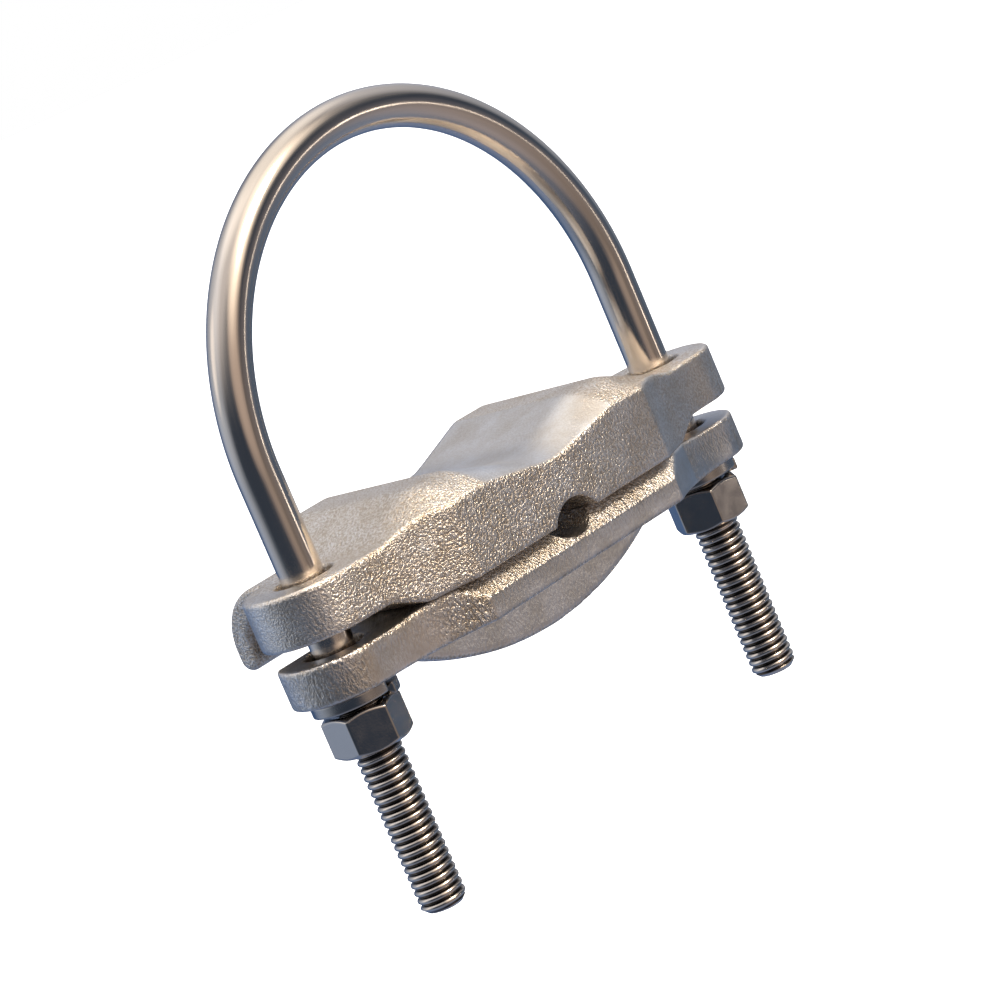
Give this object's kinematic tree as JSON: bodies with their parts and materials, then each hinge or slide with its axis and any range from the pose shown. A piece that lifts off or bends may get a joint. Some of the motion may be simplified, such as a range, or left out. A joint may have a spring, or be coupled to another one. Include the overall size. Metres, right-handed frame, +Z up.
{
  "type": "grounding clamp",
  "caption": "U-bolt ground clamp: a cast saddle with a V seat presses on a pipe while a cast keeper clamps a cable along or across it.",
  "frame": {"origin": "centre of the U-bolt's half-circle bow, on the axis of its bar", "axes": "+Z up through the top of the bow, +Y along the pipe to the hook behind, +X from the left leg to the right leg; the front is -Y"},
  "size_m": [0.1298, 0.0458, 0.1443],
  "materials": {
    "stainless": "drawn satin stainless steel",
    "tinned_bronze": "tin-plated sand-cast bronze",
    "stainless_nut": "satin stainless steel"
  },
  "bodies": {
    "u_bolt": {"u_bolt": "stainless"},
    "keeper": {"keeper": "tinned_bronze", "lock_washer_left": "stainless", "lock_washer_right": "stainless"},
    "saddle": {"saddle": "tinned_bronze"},
    "nut_left": {"hex_nut_left": "stainless_nut"},
    "nut_right": {"hex_nut_right": "stainless_nut"}
  },
  "joints": [
    {"name": "keeper_slide", "type": "slide", "parent": "u_bolt", "child": "keeper", "axis": [0, 0, 1], "range_m": [-0.028, 0.009]},
    {"name": "saddle_lift", "type": "slide", "parent": "keeper", "child": "saddle", "axis": [0, 0, 1], "range_m": [0, 0.014]},
    {"name": "nut_left_spin", "type": "hinge", "parent": "keeper", "child": "nut_left", "pos_m": [-0.0525, 0, -0.05], "axis": [0, 0, 1], "range_deg": [-6349.61, 2040.94]},
    {"name": "nut_right_spin", "type": "hinge", "parent": "keeper", "child": "nut_right", "pos_m": [0.0525, 0, -0.05], "axis": [0, 0, 1], "range_deg": [-6349.61, 2040.94]}
  ],
  "couplings": [
    {"joint": "nut_left_spin", "follows": "keeper_slide", "rad_per_m": 3957.9},
    {"joint": "nut_right_spin", "follows": "keeper_slide", "rad_per_m": 3957.9}
  ]
}
